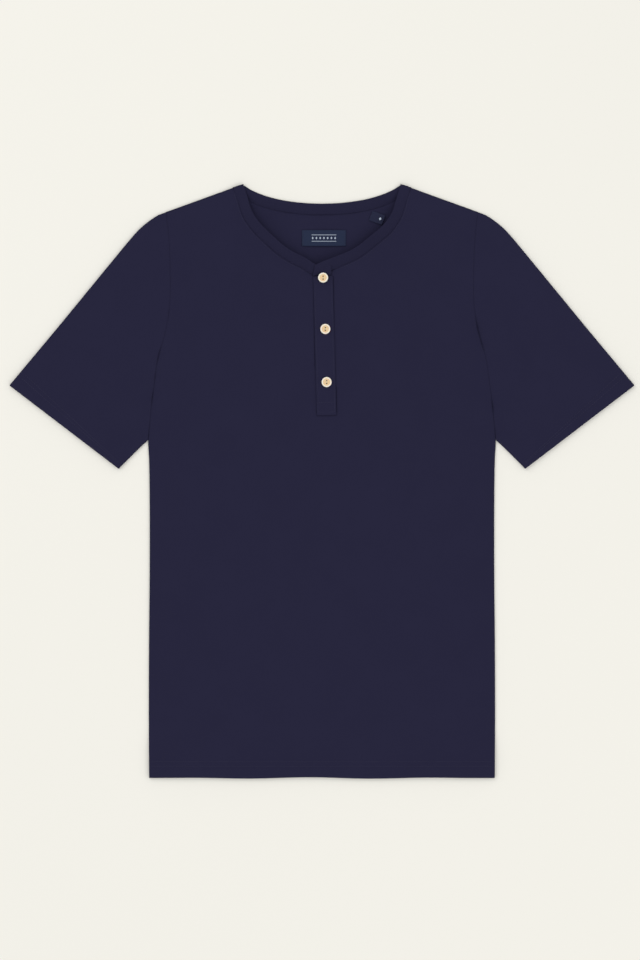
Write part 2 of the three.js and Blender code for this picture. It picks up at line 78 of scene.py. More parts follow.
def knit_cloth(name, base, lit_and_mottle, wale, course, rib_depth):
    material, tree = new_material(name)
    place = add_node(tree, "ShaderNodeTexCoord")
    parts = add_node(tree, "ShaderNodeSeparateXYZ", i0=place.outputs["UV"])

    def math_node(operation, a, b=0.0):
        return add_node(tree, "ShaderNodeMath", {"operation": operation}, i0=a, i1=b).outputs[0]

    # each column: distance from its middle, which also delays the row, so that the loops form a V
    column = math_node("FRACT", math_node("MULTIPLY", parts.outputs["X"], 1 / (wale * MM)))
    middle = math_node("ABSOLUTE", math_node("SUBTRACT", column, 0.5))
    row = math_node("MULTIPLY", parts.outputs["Y"], 1 / (course * MM))
    lean = math_node("FRACT", math_node("ADD", row, math_node("MULTIPLY", middle, 1.1)))
    loop = math_node("SINE", math_node("MULTIPLY", lean, math.pi))
    crown = math_node("SINE", math_node("MULTIPLY", middle, 2 * math.pi))
    rounded = math_node("MULTIPLY", crown, math_node("ADD", math_node("MULTIPLY", loop, 0.6), 0.4))
    # mottling from the dye, a few centimetres across, and a finer fuzz a few millimetres across that is also the fine
    # bump, so it is partly a painted sheen where the nap rises
    objects = place.outputs["Object"]
    cloudy = add_node(tree, "ShaderNodeTexNoise", Vector=objects, Scale=22.0, Detail=4.0, Roughness=0.6)
    fuzzy = add_node(tree, "ShaderNodeTexNoise", Vector=objects, Scale=900.0, Detail=2.0, Roughness=0.7)
    clouds = math_node("MULTIPLY", cloudy.outputs["Fac"], 0.7)
    fuzz_sheen = math_node("MULTIPLY", fuzzy.outputs["Fac"], 0.5)
    mottle_and_sheen = math_node("ADD", clouds, fuzz_sheen)
    # colour: the loops' legs painted lighter and the hollows between them darker, a painted shade that follows their
    # bump, plus the mottling
    shade = math_node("ADD", math_node("MULTIPLY", rounded, 0.35), math_node("SUBTRACT", mottle_and_sheen, 0.25))
    colour = add_node(tree, "ShaderNodeMix", {"data_type": "RGBA"}, i0=shade, i6=linear(base), i7=linear(lit_and_mottle))
    bumped = add_node(tree, "ShaderNodeBump", Strength=0.35, Distance=rib_depth * MM, Height=rounded)
    soft = add_node(
        tree,
        "ShaderNodeBump",
        Strength=0.25,
        Distance=0.0004,
        Height=fuzzy.outputs["Fac"],
        Normal=bumped.outputs["Normal"],
    )
    cloth = add_node(
        tree,
        "ShaderNodeBsdfPrincipled",
        Base_Color=colour.outputs[2],
        Roughness=0.95,
        Normal=soft.outputs["Normal"],
    )
    cloth.inputs["Specular IOR Level"].default_value = 0.06
    cloth.inputs["Sheen Weight"].default_value = 0.03
    cloth.inputs["Sheen Roughness"].default_value = 0.5
    cloth.inputs["Sheen Tint"].default_value = linear("#5A5A80")
    add_node(tree, "ShaderNodeOutputMaterial", Surface=cloth.outputs[0])
    return material


jersey = knit_cloth("navy_single_jersey", NAVY, NAVY_PAINTED_LIGHT_AND_MOTTLE, WALE, COURSE, 0.12)


def smooth(t):
    t = min(1.0, max(0.0, t))
    return t * t * (3 - 2 * t)


def mix(a, b, t):
    return a + (b - a) * t


def spline(table, t):
    """A smooth curve through the rows of a table whose first column is the distance along."""
    last = len(table) - 1
    k = 0
    while k < last - 1 and t > table[k + 1][0]:
        k += 1
    before, a, b, after = table[max(0, k - 1)], table[k], table[k + 1], table[min(last, k + 2)]
    span = b[0] - a[0]
    f = (t - a[0]) / span
    f = min(1.0, max(0.0, f))
    values = []
    for i in range(1, len(a)):
        slope_a = (b[i] - before[i]) / (b[0] - before[0]) if k > 0 else (b[i] - a[i]) / span
        slope_b = (after[i] - a[i]) / (after[0] - a[0]) if k < last - 1 else (b[i] - a[i]) / span
        f2, f3 = f * f, f * f * f
        values.append(
            (2 * f3 - 3 * f2 + 1) * a[i]
            + (f3 - 2 * f2 + f) * span * slope_a
            + (3 * f2 - 2 * f3) * b[i]
            + (f3 - f2) * span * slope_b
        )
    return values


def by_length(points):
    """The points as a table for spline(), with the share of the whole length in front."""
    run = [0.0]
    for a, b in zip(points, points[1:]):
        run.append(run[-1] + math.dist(a[:2], b[:2]))
    return [(d / run[-1], *p) for d, p in zip(run, points)]


def cloth_grid(columns, rows, place, width, length):
    """A grid laid where place(u, v) says, in mm, with a map in metres that the knit follows."""
    bm = bmesh.new()
    bmesh.ops.create_grid(bm, x_segments=columns, y_segments=rows, size=0.5)
    weave = bm.loops.layers.uv.new("weave")
    for face in bm.faces:
        for corner in face.loops:
            at = corner.vert.co
            corner[weave].uv = ((at.x + 0.5) * width * MM, (at.y + 0.5) * length * MM)
    for vert in bm.verts:
        vert.co = Vector(place(vert.co.x + 0.5, vert.co.y + 0.5)) * MM
    return bm


def make_piece(name, bm, material, node=None, smooth_faces=True):
    mesh = bpy.data.meshes.new(name)
    bm.to_mesh(mesh)
    bm.free()
    if smooth_faces:
        mesh.shade_smooth()
    piece = bpy.data.objects.new(name, mesh)
    bpy.context.scene.collection.objects.link(piece)
    mesh.materials.append(material)
    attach(piece, "root")
    if node:
        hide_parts(node)
    return piece


def give_wall(piece, thickness, offset):
    wall = piece.modifiers.new("wall", "SOLIDIFY")
    wall.thickness = thickness * MM
    wall.offset = offset
    wall.use_even_offset = False


# ---------------------------------------------------------------------------------------------
# Back: one panel of jersey, cut with the front along the sides and armholes, its lower edge turned
# up inside by 22 mm. Its outside lies on the surface, so it is flat but for a few pressed-in troughs.
# ---------------------------------------------------------------------------------------------
CLOTH = 0.8  # one layer of jersey
REST = 0.3  # the outside of the back, clear of the surface by the stitches' height
HEM_Y = -362.0
HEM_DEEP = 22.0
FOLD_R = 0.83  # outside radius where a hem turns
SHOULDER = (190.3, 328.4)
NECK_POINT = (107.8, 358.3)  # where the shoulder seam meets the neckband
BAND_WIDE = 12.6

# Half the panel's width at each height: side seam up to the underarm, then the armhole.
HALF_WIDTH = [
    (-362.0, 210.4),
    (-298.0, 210.9),
    (-246.0, 210.9),
    (-186.0, 210.6),
    (-126.0, 210.0),
    (-66.0, 209.8),
    (-12.0, 210.0),
    (26.0, 210.6),
    (50.3, 211.7),
    (87.0, 208.6),
    (117.5, 204.9),
    (150.3, 200.1),
    (168.0, 195.0),
    (184.5, 190.6),
    (203.0, 187.2),
    (221.0, 185.4),
    (242.0, 185.0),
    (266.0, 185.4),
    (288.0, 186.3),
    (310.0, 188.0),
    (328.4, 190.3),
]
# Free edge of the neckband on the back, from the left shoulder to the middle.
NECK_BACK = [
    (-95.7, 362.0),
    (-90.2, 357.6),
    (-83.0, 353.6),
    (-75.6, 350.3),
    (-63.0, 345.9),
    (-50.0, 342.6),
    (-34.0, 339.9),
    (-17.0, 338.2),
    (0.0, 337.6),
]
# Troughs of the hidden side: centre, direction, half length, half width, depth.
BACK_TROUGHS = [
    (-150, 190, 70, 60, 8, 0.5),
    (148, 176, 112, 66, 9, 0.55),
    (-90, -30, 88, 130, 12, 0.45),
    (70, -120, 94, 150, 13, 0.5),
    (10, 180, 86, 90, 11, 0.35),
    (-40, -240, 80, 80, 12, 0.35),
    (130, 20, 100, 90, 10, 0.4),
]


NECK_BACK = [(x, y + 1.2 * (1 - (x / 95.7) ** 2)) for x, y in NECK_BACK]


def half_width(y):
    return spline(HALF_WIDTH, y)[0]


def troughs(table, x, y):
    total = 0.0
    for cx, cy, turn, long, wide, deep in table:
        dx, dy = x - cx, y - cy
        c, s = math.cos(math.radians(turn)), math.sin(math.radians(turn))
        along, across = (dx * c + dy * s) / long, (dy * c - dx * s) / wide
        if abs(along) < 3 and abs(across) < 3:
            total += deep * math.exp(-along * along - across * across)
    return total


def seam_beside(free_edge, side, end=None):
    """The neckband's seam, a band's width outside its free edge and drawn to the shoulder point."""
    table = by_length(free_edge)
    count = 24
    inner = [spline(table, k / count) for k in range(count + 1)]
    outer = []
    for k, (x, y) in enumerate(inner):
        a, b = inner[max(0, k - 1)], inner[min(count, k + 1)]
        run = math.dist(a, b)
        outer.append([x - (b[1] - a[1]) / run * side * BAND_WIDE, y + (b[0] - a[0]) / run * side * BAND_WIDE])
    point = (math.copysign(107.2, inner[0][0]), 358.6)
    ends = [(0, point, 0.27)] + ([(count, end, 0.2)] if end else [])
    for at, target, reach in ends:
        shift = (target[0] - outer[at][0], target[1] - outer[at][1])
        for k in range(count + 1):
            pull = max(0.0, 1 - abs(k - at) / count / reach) ** 2
            outer[k] = [outer[k][0] + shift[0] * pull, outer[k][1] + shift[1] * pull]
    return inner, outer


def mirror(points):
    return [(-x, y) for x, y in points]


def top_edge(left, right):
    """A panel's upper edge as a table over 0 to 1: shoulder, neck, shoulder."""
    corner = 0.18
    halfway = [(a + b) / 2 for a, b in zip(SHOULDER, NECK_POINT)]
    rows = [(0.0, -SHOULDER[0], SHOULDER[1]), (corner / 2, -halfway[0], halfway[1])]
    left = [(-NECK_POINT[0], NECK_POINT[1])] + [tuple(p) for p in left[2:]]
    right = [(NECK_POINT[0], NECK_POINT[1])] + [tuple(p) for p in right[2:]]
    neck = by_length(left + right[::-1])
    rows += [(corner + (1 - 2 * corner) * d, x, y) for d, x, y in neck]
    return rows + [(1 - a, -x, y) for a, x, y in rows[1::-1]]


def along_edge(table, t):
    """The edge without rounding where it turns at the neckband's seam."""
    for a, b in zip(table, table[1:]):
        if t <= b[0]:
            f = (t - a[0]) / (b[0] - a[0])
            return mix(a[1], b[1], f), mix(a[2], b[2], f)
    return table[-1][1], table[-1][2]


def hem_turn(s):
    """Distance from the fold line and depth behind the outer face, s mm past the fold."""
    arc = math.pi * FOLD_R / 2
    if s >= arc:
        return s - arc + FOLD_R, 0.0
    if s <= -arc:
        return -s - arc + FOLD_R, 2 * FOLD_R
    turn = s / FOLD_R
    return FOLD_R * (1 - math.cos(turn)), FOLD_R * (1 - math.sin(turn))


def hem_stops(total, step):
    """Rows from the raw edge inside the hem, round its fold, to the far end of the panel."""
    fine = [k * 0.325 - 1.3 for k in range(9)]
    stops = [-HEM_DEEP, -HEM_DEEP + 3, -14.0, -8.0, -4.0, -2.2] + fine + [2.2, 4.0, 7.0]
    count = int((total - 10) / step)
    return stops + [10 + (total - 10) * k / count for k in range(count + 1)]


PANEL_LONG = SHOULDER[1] - HEM_Y + 1.3 - FOLD_R


def edge_gather(t):
    """Closer columns towards the seams."""
    return mix(t, 0.5 - 0.5 * math.cos(math.pi * t), 0.45)


def panel_place(u, s, top):
    """Where a point of a panel lies: u across it, s mm up from the fold of its hem."""
    rise, depth = hem_turn(s)
    y0 = min(HEM_Y + rise, SHOULDER[1])
    v = (y0 - HEM_Y) / (SHOULDER[1] - HEM_Y)
    u = edge_gather(u)
    tx, ty = along_edge(top, u)
    waver = 0.9 * math.sin(u * 17) * math.sin(u * math.pi) * (1 - v) ** 2
    half = half_width(y0) + 0.35
    x = mix(-half, half, u) + (tx - mix(-SHOULDER[0], SHOULDER[0], u)) * v * v
    y = y0 + waver + (ty - SHOULDER[1]) * v * v
    return x, y, depth


def make_panel(columns, stops, top, height):
    def place(u, v):
        s = stops[round(v * (len(stops) - 1))]
        x, y, depth = panel_place(u, s, top)
        return x, y, height(x, y, depth)

    return cloth_grid(columns, len(stops) - 1, place, 2 * SHOULDER[0] + 40, PANEL_LONG)


back_inner, back_outer = seam_beside(NECK_BACK, -1)
back_top = top_edge(back_outer, mirror(back_outer))


def back_height(x, y, depth):
    inside = smooth((half_width(min(y, 328.0)) - abs(x)) / 20) * smooth((y - HEM_Y - 30) / 30) * smooth((345 - y) / 30)
    return REST + depth + 0.8 * troughs(BACK_TROUGHS, x, y) * inside


back_bm = make_panel(110, hem_stops(PANEL_LONG, 5.0), back_top, back_height)
back = make_piece("back_panel", back_bm, jersey, "back")
give_wall(back, CLOTH, 1)

# ---------------------------------------------------------------------------------------------
# Front: the same cut with a deeper neck, slit down the middle for the placket. It lies on the back,
# held down by its seams and standing a little off in between, pulled up beside the armhole seams.
# ---------------------------------------------------------------------------------------------
NECK_FRONT_LEFT = [
    (-95.7, 362.0),
    (-90.9, 347.0),
    (-86.0, 331.0),
    (-79.4, 319.6),
    (-70.8, 309.6),
    (-57.3, 296.7),
    (-45.1, 285.9),
    (-32.9, 278.4),
    (-19.5, 271.8),
    (-8.2, 264.4),
    (2.0, 262.4),
    (11.4, 262.4),
]
NECK_FRONT_RIGHT = [
    (95.7, 362.0),
    (90.9, 345.5),
    (85.8, 329.0),
    (79.6, 318.4),
    (71.6, 309.2),
    (57.3, 297.4),
    (45.1, 287.6),
    (36.0, 281.8),
    (24.0, 276.6),
    (13.2, 272.2),
    (3.2, 268.4),
    (-8.6, 263.2),
]
FRONT_TROUGHS = [
    (-176, 196, 78, 46, 9, 0.5),
    (176, 188, 101, 44, 9, 0.6),
    (-178, 92, 50, 52, 12, 0.45),
    (174, 84, 128, 56, 13, 0.45),
    (-120, -40, 84, 120, 20, 0.35),
    (112, -90, 95, 140, 22, 0.4),
    (-60, -250, 92, 90, 18, 0.35),
    (40, -230, 86, 110, 20, 0.3),
    (-120, 270, 140, 60, 12, 0.3),
    (122, 268, 42, 60, 12, 0.3),
]
# Where the armhole seams pull the cloth up beside them, left and right: height on the seam, half
# length, rise.
PINCHES = {
    -1: [(204, 5, 0.7), (152.7, 8, 1.3), (128, 6, 0.9), (102.7, 8, 1.0), (57, 8, 0.6)],
    1: [(187, 10, 1.9), (168.6, 7, 1.2), (91.7, 8, 1.1), (57, 8, 0.6)],
}
PLACKET_TOP = (1.2, 250.6)
PLACKET_END = (5.6, 83.2)
PLACKET_WIDE = 24.4


def shoulder_drop(x, y):
    slope = (358.6 - SHOULDER[1]) / (SHOULDER[0] - 107.2)
    below = SHOULDER[1] + slope * (SHOULDER[0] - abs(x)) - y
    return max(0.0, below + max(0.0, 119.2 - abs(x)) * 1.4)


def pinch(side, y, away):
    rise = sum(high * math.exp(-(((y - at) / long) ** 2)) for at, long, high in PINCHES[side])
    return rise * math.exp(-(((away - 2.8) / 1.7) ** 2))


def front_top_height(x, y):
    seam = max(0.0, min(half_width(min(y, SHOULDER[1])) - abs(x), shoulder_drop(x, y)))
    loft = 1.7 * smooth(seam / 42)
    hem = 1.9 * (1 - smooth((y - HEM_Y - HEM_DEEP - 2) / 40))
    rise = max(loft, hem) + 0.25 * min(loft, hem)
    relief = troughs(FRONT_TROUGHS, x, y) * smooth(seam / 12) - pinch(1 if x > 0 else -1, y, seam)
    rolled = 0.4 * (1 - smooth(seam / 2.2))
    return max(1.95, 2.35 + rise - relief) - rolled


def front_height(x, y, depth):
    return front_top_height(x, y) - depth


left_inner, left_outer = seam_beside(NECK_FRONT_LEFT, -1, (11.4, 250.6))
right_inner, right_outer = seam_beside(NECK_FRONT_RIGHT, 1, (-10.8, 251.2))
front_top = top_edge([p for p in left_outer if p[0] < 0], [p for p in right_outer if p[0] > 4])
front_bm = make_panel(168, hem_stops(PANEL_LONG, 3.6), front_top, front_height)
lean = math.atan2(PLACKET_END[0] - PLACKET_TOP[0], PLACKET_TOP[1] - PLACKET_END[1])
down = Vector((math.sin(lean), -math.cos(lean), 0))
across = Vector((math.cos(lean), math.sin(lean), 0))
slit_top = Vector((PLACKET_TOP[0], PLACKET_TOP[1], 0))
placket_long = math.dist(PLACKET_TOP, PLACKET_END)
SLIT_HALF = PLACKET_WIDE / 2 - 1  # the strips lap the slit's sides by 1 mm
SLIT_FROM = 1.0  # how far below the neckband's seam it begins
cuts = [(across, -SLIT_HALF), (across, SLIT_HALF), (down, SLIT_FROM), (down, placket_long)]
for normal, offset in cuts:
    bmesh.ops.bisect_plane(
        front_bm,
        geom=front_bm.verts[:] + front_bm.edges[:] + front_bm.faces[:],
        plane_co=(slit_top + normal * offset) * MM,
        plane_no=normal,
    )


def in_slit(face):
    at = face.calc_center_median() / MM - slit_top
    return abs(at.dot(across)) < SLIT_HALF and SLIT_FROM < at.dot(down) < placket_long


bmesh.ops.delete(front_bm, geom=[f for f in front_bm.faces if in_slit(f)], context="FACES")
front = make_piece("front_panel", front_bm, jersey, "front")
give_wall(front, CLOTH, -1)

# ---------------------------------------------------------------------------------------------
# Sleeves: each one piece of jersey sewn to a tube under the arm, set into the armhole, with its
# opening turned in by 20 mm. Laid flat it is pressed to two layers with a soft fold at each edge.
# ---------------------------------------------------------------------------------------------
# share of the length, then the top fold and the underarm fold as seen from above
SLEEVE = [
    (0.0, -190.4, 328.4, -211.8, 50.3),
    (0.05, -200.5, 324.4, -214.0, 48.5),
    (0.12, -213.5, 315.6, -216.8, 45.9),
    (0.2, -226.6, 303.6, -219.8, 43.2),
    (0.34, -253.2, 271.9, -224.4, 38.7),
    (0.5, -285.6, 232.5, -229.6, 33.6),
    (0.68, -322.2, 187.9, -235.4, 27.8),
    (0.84, -353.8, 150.0, -240.8, 22.4),
    (0.95, -372.6, 127.4, -245.0, 18.2),
    (1.0, -381.4, 117.0, -247.8, 15.0),
]
SLEEVE_LONG = 215.0
CUFF_DEEP = 20.0
SLEEVE_TROUGHS = [
    (-232, 210, 58, 62, 9, 0.55),
    (-262, 150, 44, 60, 11, 0.45),
    (-226, 112, 40, 36, 7, 0.5),
    (-300, 172, 60, 40, 10, 0.35),
    (-222, 268, 66, 34, 8, 0.35),
]
SLEEVE_TROUGHS_RIGHT = [
    (236, 222, 120, 58, 9, 0.5),
    (258, 142, 134, 64, 11, 0.5),
    (224, 104, 142, 34, 7, 0.5),
    (304, 180, 124, 38, 10, 0.3),
    (220, 262, 112, 30, 8, 0.35),
]


def sleeve_stops():
    """Rows from the armhole to the opening's fold and back inside to the hem's raw edge."""
    arc = math.pi * FOLD_R / 2
    stops = [0.0, 0.4, 0.9, 1.6, 2.6, 4.0]
    stops += [6 + (SLEEVE_LONG - 12) * k / 62 for k in range(63)]
    stops += [SLEEVE_LONG - 4.0, SLEEVE_LONG - 2.4]
    stops += [SLEEVE_LONG + arc * (k / 4 - 1) for k in range(9)]
    return stops + [SLEEVE_LONG + d for d in (2.4, 4.5, 8.0, 13.0, CUFF_DEEP)]


def ring_stops():
    """Round the pressed tube: upper layer, top fold, lower layer, underarm fold."""
    layer = [0.5 - 0.5 * math.cos(math.pi * k / 54) for k in range(55)]
    layer = [mix(k / 54, t, 0.4) for k, t in enumerate(layer)]
    fold = [k / 8 for k in range(1, 8)]
    ring = [("upper", t) for t in layer] + [("top fold", t) for t in fold]
    ring += [("lower", 1 - t) for t in layer] + [("under fold", t) for t in fold]
    return ring + [ring[0]]


def make_sleeve(name, node, side, relief):
    stops, ring = sleeve_stops(), ring_stops()

    def place(a, b):
        kind, t = ring[round(a * (len(ring) - 1))]
        s = stops[round(b * (len(stops) - 1))]
        back_off, depth = hem_turn(SLEEVE_LONG - s)
        along = max(0.0, 1 - back_off / (SLEEVE_LONG + FOLD_R * (1 - math.pi / 2)))
        tx, ty, ux, uy = spline(SLEEVE, along)
        width = math.dist((tx, ty), (ux, uy))
        dx, dy = (tx - ux) / width, (ty - uy) / width
        height = mix(2.05 + 1.3 * smooth(along / 0.3), 4.0, smooth((along - 0.7) / 0.2))
        # the end at the armhole is drawn down into its seam
        height -= 0.35 * (1 - smooth(s / 2.4))
        outer = height / 2
        radius = outer - depth
        middle = REST + outer
        if kind == "upper" or kind == "lower":
            d = outer + (width - 2 * outer) * t
            z = middle + (radius if kind == "upper" else -radius)
        elif kind == "top fold":
            turn = math.pi / 2 - math.pi * t
            d = width - outer + radius * math.cos(turn)
            z = middle + radius * math.sin(turn)
        else:
            turn = -math.pi / 2 - math.pi * t
            d = outer + radius * math.cos(turn)
            z = middle + radius * math.sin(turn)
        share = min(1.0, max(0.0, d / width))
        y_arm = mix(50.3, SHOULDER[1], share)
        bow = -half_width(y_arm) - mix(-211.7, -190.3, share)
        keep = (1 - along) ** 1.5
        x = ux + dx * d + bow * keep
        y = uy + dy * d
        if kind == "upper":
            swell = 0.8 * math.sin(math.pi * t) * smooth(along / 0.25) * smooth((1 - along) / 0.35)
            edge = smooth(min(d, width - d) / 14) * smooth(s / 10)
            z += swell + pinch(-side, y, s) - min(1.1, troughs(relief, side * x, y)) * edge
        if kind == "lower":
            z += 0.5 * troughs(relief, side * x, y) * smooth(min(d, width - d) / 20) * smooth((1 - along) / 0.2)
        return side * (x - 0.1), y, z

    bm = cloth_grid(len(ring) - 1, len(stops) - 1, place, 560, SLEEVE_LONG + CUFF_DEEP)
    bmesh.ops.remove_doubles(bm, verts=bm.verts[:], dist=0.002 * MM)
    bmesh.ops.recalc_face_normals(bm, faces=bm.faces[:])
    if tube_faces_in(bm):
        bmesh.ops.reverse_faces(bm, faces=bm.faces[:])
    piece = make_piece(name, bm, jersey, node)
    give_wall(piece, CLOTH, -1)
    return piece


def tube_faces_in(bm):
    """True where most of the lowest faces look up, so that the tube's inside is turned out."""
    low = [f for f in bm.faces if f.calc_center_median().z < 0.6 * MM and abs(f.normal.z) > 0.9]
    return sum(1 if f.normal.z > 0 else -1 for f in low) > 0


make_sleeve("sleeve_on_the_left", "sleeve_left", 1, SLEEVE_TROUGHS)
make_sleeve("sleeve_on_the_right", "sleeve_right", -1, SLEEVE_TROUGHS_RIGHT)

# ---------------------------------------------------------------------------------------------
# Neckband: one strip of fine rib, folded double along its length and sewn round the neck. It turns
# over at both shoulders, and its two ends overlap at the placket, the one on the right lying on top.
# ---------------------------------------------------------------------------------------------
RIB_NAVY = "#212035"
rib = knit_cloth("navy_fine_rib", RIB_NAVY, NAVY_PAINTED_LIGHT_AND_MOTTLE, 1.3, 0.8, 0.35)
BAND_THICK = 1.6
BAND_BACK_Z = REST + BAND_THICK / 2
BAND_FRONT_Z = 3.15
SEAM_LAP = 0.8  # how far the strip's raw side goes past the panel's edge


def band_rows():
    """Each row: free edge x, y, z, seam x, y, z, and the outward direction of its outside face."""
    rows = []

    def front_rows(inner, outer, climbs):
        made = []
        for k, (i, o) in enumerate(zip(inner, outer)):
            climb = smooth((26 - o[0]) / 18) * (BAND_THICK + 0.35) if climbs else 0.0
            stand = 6.2 * smooth(k / 7) * (1 - smooth((k - 21) / 3) * 0.25)
            made.append((*i, BAND_FRONT_Z + climb + stand, *o, BAND_FRONT_Z + climb + 0.25, 0, 0, 1))
        return made

    def turned(front, rear, side):
        made = []
        middle, radius = (BAND_FRONT_Z + BAND_BACK_Z) / 2, (BAND_FRONT_Z - BAND_BACK_Z) / 2
        out = Vector((-side * 0.34, 0.94, 0))
        for k in range(1, 8):
            turn = math.pi * k / 8
            push = radius * math.sin(turn) - radius
            z = middle + radius * math.cos(turn)
            i = [(front[0][n] + rear[0][n]) / 2 + out[n] * push for n in (0, 1)]
            o = [(front[1][n] + rear[1][n]) / 2 + out[n] * push for n in (0, 1)]
            n = out * math.sin(turn) + Vector((0, 0, math.cos(turn)))
            made.append((*i, z, *o, z, *n))
        return made

    back_rows = [(*i, BAND_BACK_Z, *o, BAND_BACK_Z, 0, 0, -1) for i, o in zip(back_inner, back_outer)]
    mirrored = [(-r[0], r[1], r[2], -r[3], r[4], r[5], 0, 0, -1) for r in back_rows]
    left = front_rows(left_inner, left_outer, False)
    right = front_rows(right_inner, right_outer, True)
    rows += left[:0:-1]
    rows += turned((left_inner[0], left_outer[0]), (back_inner[0], back_outer[0]), -1)
    rows += back_rows[1:] + mirrored[-2:0:-1]
    corner = ((95.7, 362.0), (107.2, 358.6))
    rows += turned(corner, corner, 1)[::-1]
    rows += right[1:]
    return rows


band_table = by_length([((r[0] + r[3]) / 2, (r[1] + r[4]) / 2, *r) for r in band_rows()])


def even_rows(table):
    """Rows at equal shares of their count, so that the turn at a shoulder keeps its own rows."""
    return [(k / (len(table) - 1), *row[3:]) for k, row in enumerate(table)]


band_table = even_rows(band_table)
BAND_LONG = 560.0


def band_section(a):
    """Round the folded strip: across 0 at the seam to 1 at the free edge, and the side it is on."""
    if a < 0.05 or a > 0.95:
        return 0.0, math.sin(math.pi / 2 * (a if a < 0.5 else a - 1) / 0.05)
    if a < 0.42:
        return (a - 0.05) / 0.37, 1.0
    if a > 0.58:
        return (0.95 - a) / 0.37, -1.0
    return 1.0, math.cos(math.pi * (a - 0.42) / 0.16)


def band_place(a, b):
    fx, fy, fz, sx, sy, sz, nx, ny, nz = spline(band_table, b)
    free, seam, out = Vector((fx, fy, fz)), Vector((sx, sy, sz)), Vector((nx, ny, nz)).normalized()
    share, face = band_section(a)
    half = BAND_THICK / 2
    thinned = 0.55 + 0.45 * smooth(share / 0.35)  # flatter towards the seam
    inward = (free - seam).normalized()
    straight = (free - seam).length - half + SEAM_LAP
    point = seam + inward * (straight * share - SEAM_LAP) + out * half * face * thinned
    if 0.42 <= a <= 0.58:
        point += inward * half * math.sin(math.pi * (a - 0.42) / 0.16)
    # a slight crown between the seam and the fold, and the seam itself drawn in
    crown = 0.22 * math.sin(math.pi * min(1.0, share)) - 0.25 * (1 - smooth(share / 0.16))
    floor_side = -face if nz < -0.5 else face
    if abs(face) == 1.0 and not (nz < -0.5 and face > 0):
        point += out * face * crown * (0.6 if floor_side < 0 else 1.0)
    return point


band_bm = cloth_grid(40, 460, band_place, 2 * BAND_WIDE, BAND_LONG)
layer = band_bm.loops.layers.uv["weave"]
for face in band_bm.faces:
    for corner in face.loops:
        u, v = corner[layer].uv
        corner[layer].uv = (v, u)  # the ribs run across the strip
bmesh.ops.remove_doubles(band_bm, verts=band_bm.verts[:], dist=0.01 * MM)
bmesh.ops.recalc_face_normals(band_bm, faces=band_bm.faces[:])
neckband = make_piece("rib_neckband", band_bm, rib, "neckband")
give_wall(neckband, 0.6, -1)

# ---------------------------------------------------------------------------------------------
# Placket: two strips of jersey, each folded double. The lower one carries the buttons; the upper one
# is sewn down on the right, free on the left, and has three upright worked buttonholes.
# ---------------------------------------------------------------------------------------------
PLACKET_THICK = 1.3
UNDER_Z = 2.7
OVER_Z = 4.15
placket_cloth = knit_cloth("navy_placket_jersey", NAVY, NAVY_PAINTED_LIGHT_AND_MOTTLE, WALE, COURSE, 0.12)
BUTTONS = [("button_1", 1.4, 248.0, 0.5), ("button_2", 4.1, 185.5, 0.0), ("button_3", 5.7, 120.8, 0.0)]
HOLE_LONG = {"button_1": 8.0, "button_2": 14.0, "button_3": 14.0}


def strip_section(a, wide, thick):
    """Across and height round a flat strip with softly rounded edges, its upper face crowned."""
    r = thick / 2
    flat = wide / 2 - r
    if a < 0.4:
        t = a / 0.4
        return mix(flat, -flat, t), thick + 0.12 * math.sin(math.pi * t)
    if a < 0.5:
        turn = math.pi / 2 + math.pi * (a - 0.4) / 0.1
        return -flat + r * math.cos(turn), r + r * math.sin(turn)
    if a < 0.9:
        return mix(-flat, flat, (a - 0.5) / 0.4), 0.0
    turn = -math.pi / 2 + math.pi * (a - 0.9) / 0.1
    return flat + r * math.cos(turn), r + r * math.sin(turn)


def make_strip(name, node, z, extra, puckers):
    long = placket_long + extra - 0.4

    def place(a, b):
        side, height = strip_section(a, PLACKET_WIDE - 0.3, PLACKET_THICK)
        end = min(b, 1 - b) * long
        height = PLACKET_THICK / 2 + (height - PLACKET_THICK / 2) * (0.55 + 0.45 * smooth(end / 1.2))
        at = slit_top + down * (0.4 + b * long) + across * side
        pull = 0.0
        if puckers and height > PLACKET_THICK / 2:
            edge = smooth(1 - abs(abs(side) - PLACKET_WIDE / 2 + 2.2) / 2.0)
            pull = edge * (0.12 + 0.06 * math.sin(b * long * 2 * math.pi / 5.6))
            for _, bx, by, _ in BUTTONS:
                pull += 0.18 * math.exp(-((at.x - bx) ** 2 + (at.y - by) ** 2) / 90)
        return at.x, at.y, z + height - pull

    bm = cloth_grid(60, 150, place, 2 * PLACKET_WIDE, long)
    bmesh.ops.remove_doubles(bm, verts=bm.verts[:], dist=0.01 * MM)
    bmesh.ops.recalc_face_normals(bm, faces=bm.faces[:])
    piece = make_piece(name, bm, placket_cloth, node)
    give_wall(piece, 0.5, -1)
    return piece


def apply_modifiers(piece):
    """Puts what the modifiers make into the piece's own mesh, and takes them off."""
    shaped = piece.evaluated_get(bpy.context.evaluated_depsgraph_get())
    mesh = bpy.data.meshes.new_from_object(shaped)
    piece.modifiers.clear()
    piece.data = mesh


def cut_with(piece, cutter_bm):
    mesh = bpy.data.meshes.new("cutter")
    cutter_bm.to_mesh(mesh)
    cutter_bm.free()
    cutter = bpy.data.objects.new("cutter", mesh)
    bpy.context.scene.collection.objects.link(cutter)
    cut = piece.modifiers.new("cut", "BOOLEAN")
    cut.operation = "DIFFERENCE"
    cut.object = cutter
    cut.solver = "EXACT"
    apply_modifiers(piece)
    bpy.data.objects.remove(cutter)
    bpy.data.meshes.remove(mesh)


